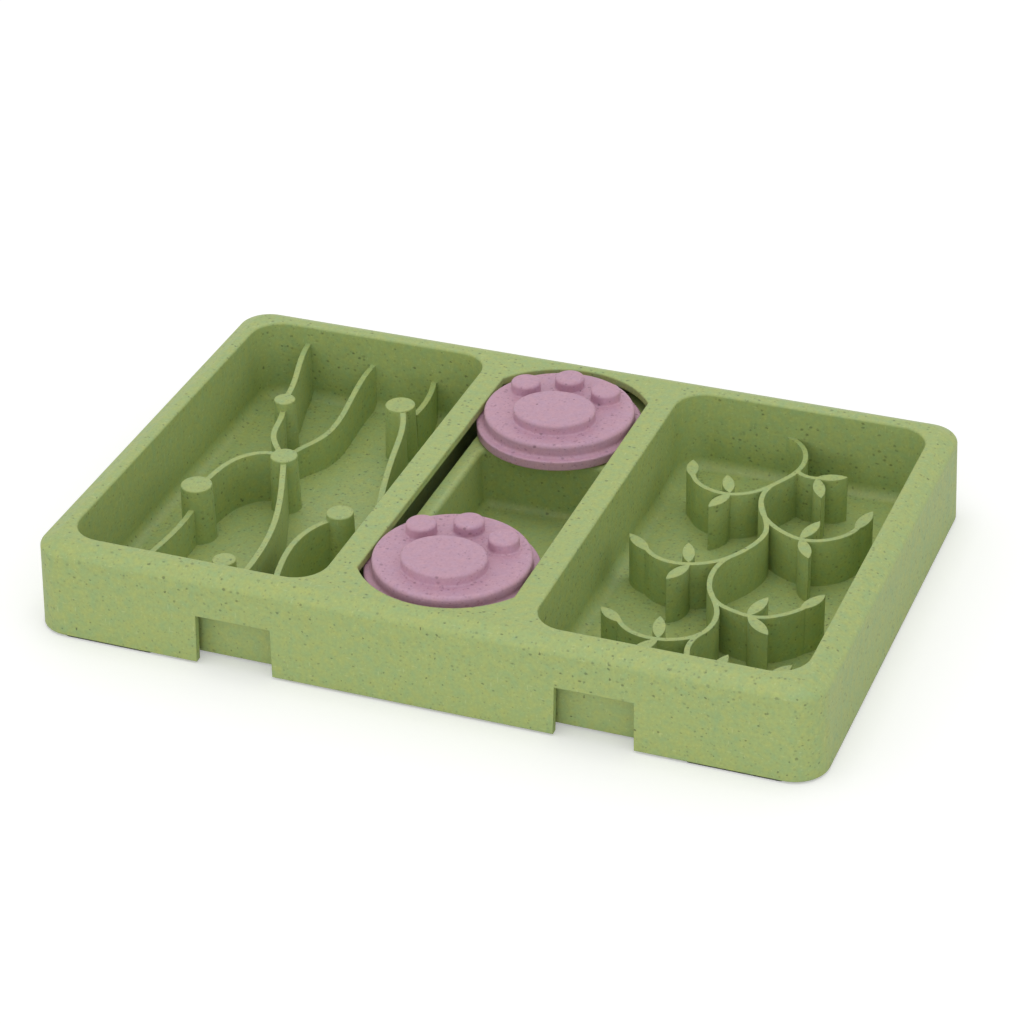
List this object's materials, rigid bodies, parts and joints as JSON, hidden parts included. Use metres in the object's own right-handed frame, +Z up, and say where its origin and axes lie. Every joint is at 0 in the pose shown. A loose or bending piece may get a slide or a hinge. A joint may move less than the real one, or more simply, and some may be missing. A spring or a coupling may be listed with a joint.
{
  "type": "dog puzzle feeder",
  "caption": "Low rectangular tray with a post-and-rib maze, a leafy vine maze and a central treat well under sliding paw-shaped covers",
  "frame": {"origin": "on the table under the middle of the tray, at the undersides of the feet", "axes": "+X along the tray towards the vine basin, +Y towards the back edge, +Z up"},
  "size_m": [0.32, 0.212, 0.046],
  "materials": {
    "tray_plastic": "matt green plastic with fine dark specks, taken to be straw-filled polypropylene",
    "paw_plastic": "matt dusty pink plastic with fine dark specks, taken to be straw-filled polypropylene",
    "foot_rubber": "soft matt",
    "screw_steel": "zinc plated"
  },
  "bodies": {
    "tray": {"tray_shell": "tray_plastic", "treat_well": "tray_plastic", "well_screws": "screw_steel", "foot_front_left": "foot_rubber", "foot_front_right": "foot_rubber", "foot_back_left": "foot_rubber", "foot_back_right": "foot_rubber"},
    "front_disc": {"paw_disc_front": "paw_plastic"},
    "back_disc": {"paw_disc_back": "paw_plastic"}
  },
  "joints": [
    {"name": "front_disc_slide", "type": "slide", "parent": "tray", "child": "front_disc", "axis": [0, 1, 0], "range_m": [-0.0033, 0.0259]},
    {"name": "back_disc_slide", "type": "slide", "parent": "tray", "child": "back_disc", "axis": [0, 1, 0], "range_m": [-0.0244, 0.0048]}
  ]
}
